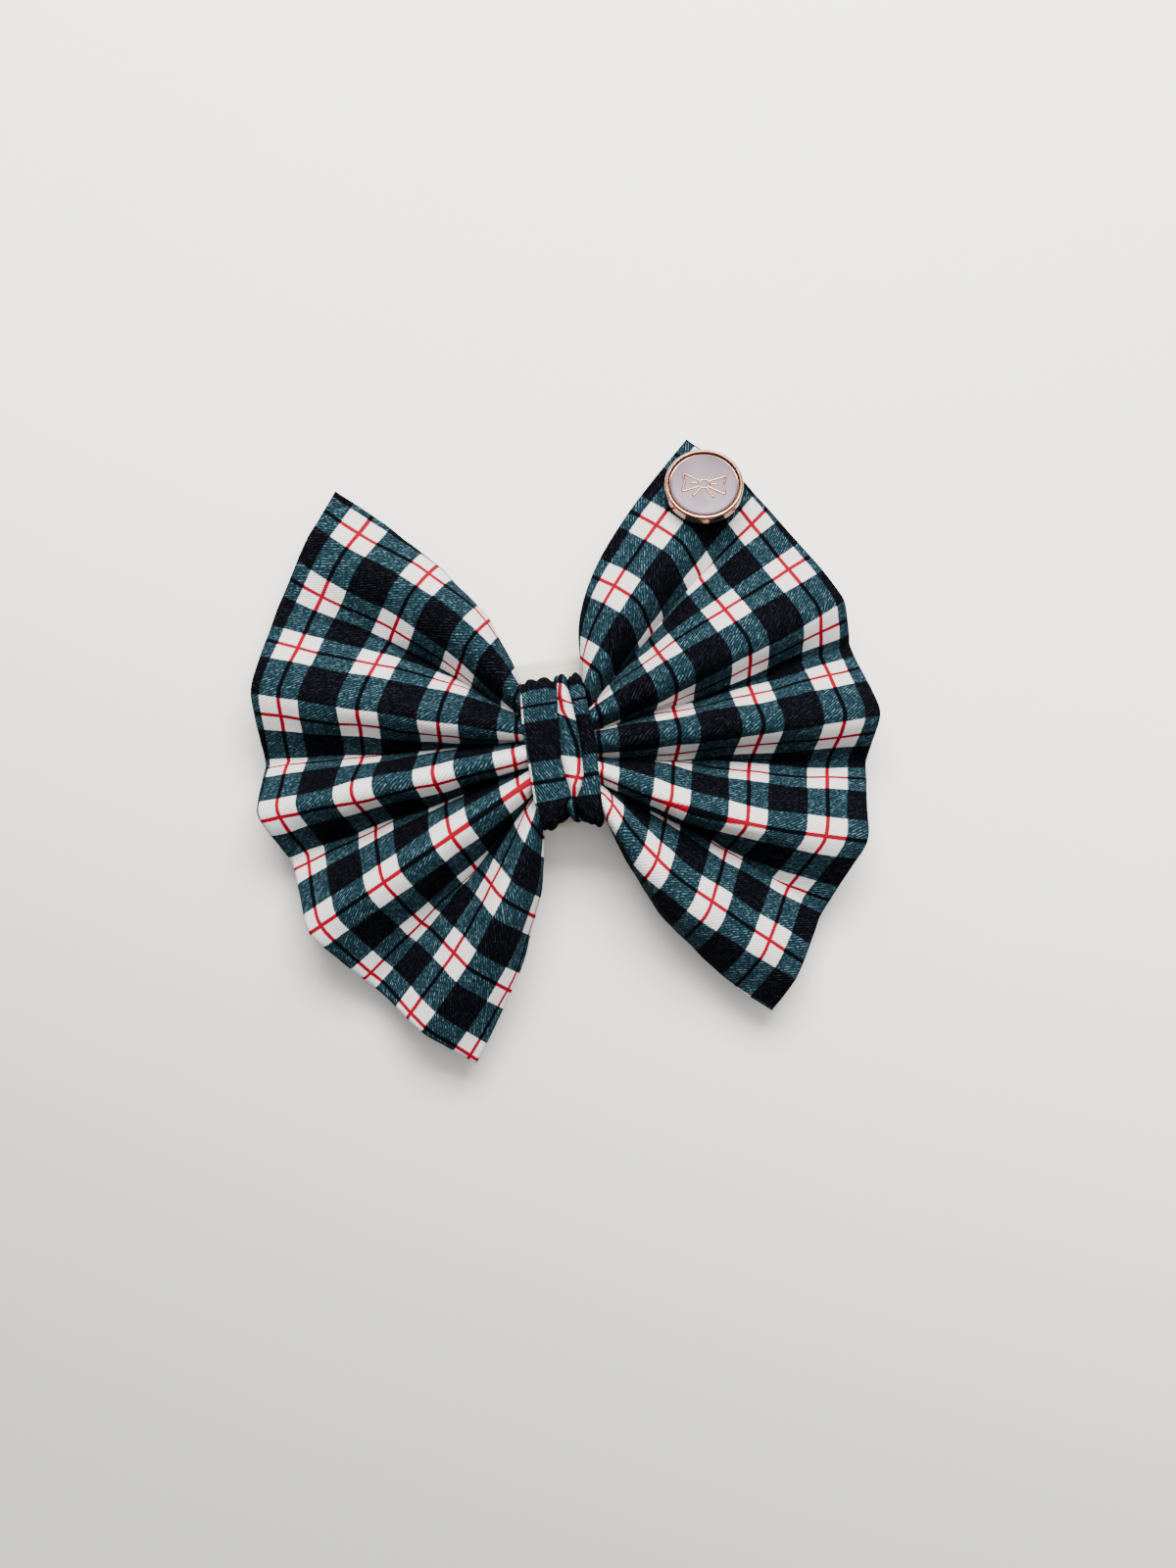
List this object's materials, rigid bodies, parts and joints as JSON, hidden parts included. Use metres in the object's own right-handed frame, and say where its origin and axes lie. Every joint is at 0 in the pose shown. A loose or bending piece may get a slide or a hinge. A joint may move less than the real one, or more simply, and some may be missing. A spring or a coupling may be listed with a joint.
{
  "type": "hair bow",
  "caption": "Fan-pleated plaid hair bow with two pointed wings, a wrapped knot, a wide ribbed elastic loop behind and a round enamel pin badge on one wing.",
  "frame": {"origin": "middle of the elastic loop's underside, behind the knot, on the plane the bow lies on", "axes": "+Z out of the front of the bow, +X along the bow from the left wing to the right wing as seen from the front, +Y up along the knot"},
  "size_m": [0.145, 0.135, 0.0259],
  "materials": {
    "plaid_cloth": "woven twill plaid, white, teal and navy with red and black lines",
    "stiffener": "non-woven, matt",
    "elastic": "ribbed woven elastic, cream",
    "sewing_thread": "spun polyester",
    "dark_thread": "spun polyester",
    "rose_gold": "rose-gold plated, polished",
    "enamel": "lilac-grey enamel, glossy",
    "pin_steel": "bright",
    "clutch_rubber": "matt"
  },
  "bodies": {
    "bow": {"bow_front_layer": "plaid_cloth", "bow_interfacing": "stiffener", "bow_back_layer": "plaid_cloth", "edge_seam_thread": "sewing_thread", "gathering_thread": "sewing_thread", "knot_wrap": "plaid_cloth", "knot_closing_stitches": "dark_thread", "strap_seam_stitches": "sewing_thread", "strap_tack_stitches": "sewing_thread"},
    "elastic": {"elastic_strap": "elastic"},
    "badge": {"badge_body": "rose_gold", "badge_enamel": "enamel", "badge_post": "pin_steel"},
    "clutch": {"badge_clutch": "clutch_rubber"}
  },
  "joints": [
    {"name": "elastic_stretch", "type": "slide", "parent": "bow", "child": "elastic", "axis": [0, 0, -1], "range_m": [0, 0.025], "stiffness_N_per_m": 120, "springref_m": -0.002, "deforming": ["elastic_strap"]},
    {"name": "badge_spin", "type": "hinge", "parent": "bow", "child": "badge", "pos_m": [0.0413, 0.0542, 0.0163], "axis": [0.0586, 0.37, 0.9272], "continuous": true},
    {"name": "clutch_pull", "type": "slide", "parent": "badge", "child": "clutch", "axis": [-0.0586, -0.37, -0.9272], "range_m": [0, 0.008]}
  ]
}
